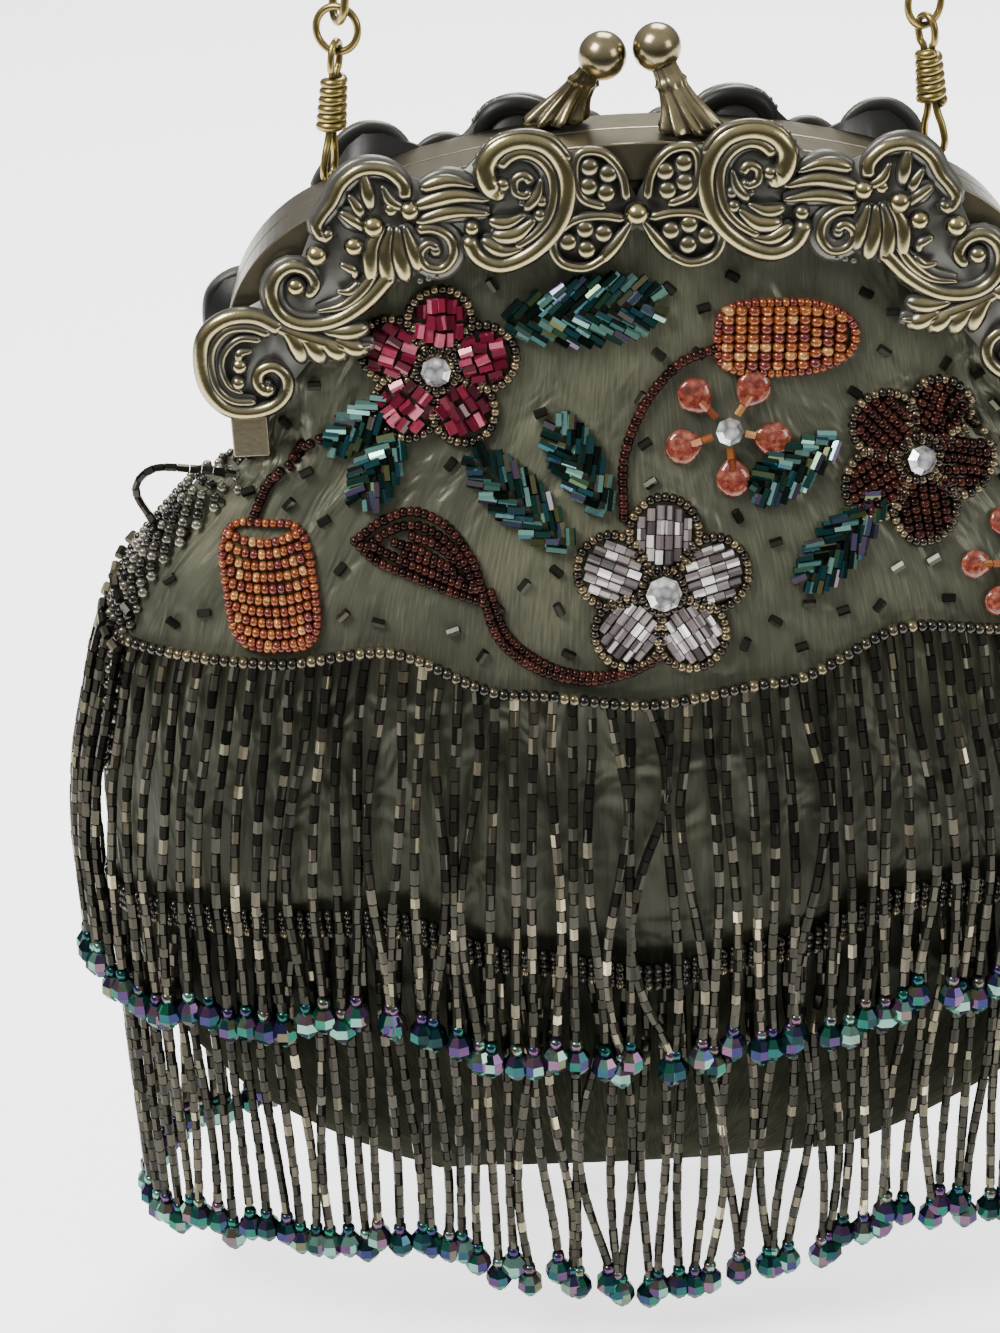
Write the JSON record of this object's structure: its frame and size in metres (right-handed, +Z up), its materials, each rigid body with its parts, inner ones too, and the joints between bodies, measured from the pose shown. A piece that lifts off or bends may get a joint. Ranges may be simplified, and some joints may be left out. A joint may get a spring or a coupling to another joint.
{
  "type": "beaded handbag",
  "caption": "Beaded evening handbag: satin pouch with bead flowers and two fringe tiers on a hinged brass scrollwork frame with a kiss lock and chain handle.",
  "frame": {"origin": "underside of the chain handle at its apex, where the bag hangs from a hand or hook", "axes": "+Z up along the line of the hang, +X to the right seen from the flowered front, front towards -Y"},
  "size_m": [0.2422, 0.0842, 0.4435],
  "materials": {
    "brass": "antiqued, dark in the recesses",
    "satin": "olive satin",
    "fringe_bead": "smoky cut glass with bronze lustre",
    "crystal": "clear, foil backed",
    "red_bead": "glossy",
    "orange_bead": "glossy",
    "brown_bead": "glossy",
    "lilac_bead": "pearly",
    "amber_bead": "glossy",
    "teal_bead": "iris lustre",
    "rope": "twisted thread"
  },
  "bodies": {
    "root": {"rail_front": "brass", "rail_back": "brass", "hinge_pin_left": "brass", "hinge_pin_right": "brass", "scrollwork_front": "brass", "scrollwork_back": "brass", "clasp_front": "brass", "clasp_back": "brass", "connector_left": "brass", "connector_right": "brass", "ring_left": "brass", "ring_right": "brass", "chain": "brass", "pouch": "satin", "side_braid_left": "fringe_bead", "side_braid_right": "fringe_bead", "fringe_upper_front": "fringe_bead", "fringe_upper_back": "fringe_bead", "fringe_lower_front": "fringe_bead", "fringe_lower_back": "fringe_bead", "flower_red": "red_bead", "flower_orange": "orange_bead", "flower_orange_right": "orange_bead", "flower_brown": "brown_bead", "flower_lilac": "lilac_bead", "stone_red": "crystal", "stone_orange": "crystal", "stone_orange_right": "crystal", "stone_brown": "crystal", "stone_lilac": "crystal", "bud_amber_left": "amber_bead", "bud_amber_right": "amber_bead", "bud_brown": "brown_bead", "leaf_top": "teal_bead", "leaf_left_a": "teal_bead", "leaf_left_b": "teal_bead", "leaf_middle_a": "teal_bead", "leaf_middle_b": "teal_bead", "leaf_right_a": "teal_bead", "leaf_right_b": "teal_bead", "stem_right": "rope", "stem_left": "rope", "stem_brown": "rope"}
  },
  "joints": []
}
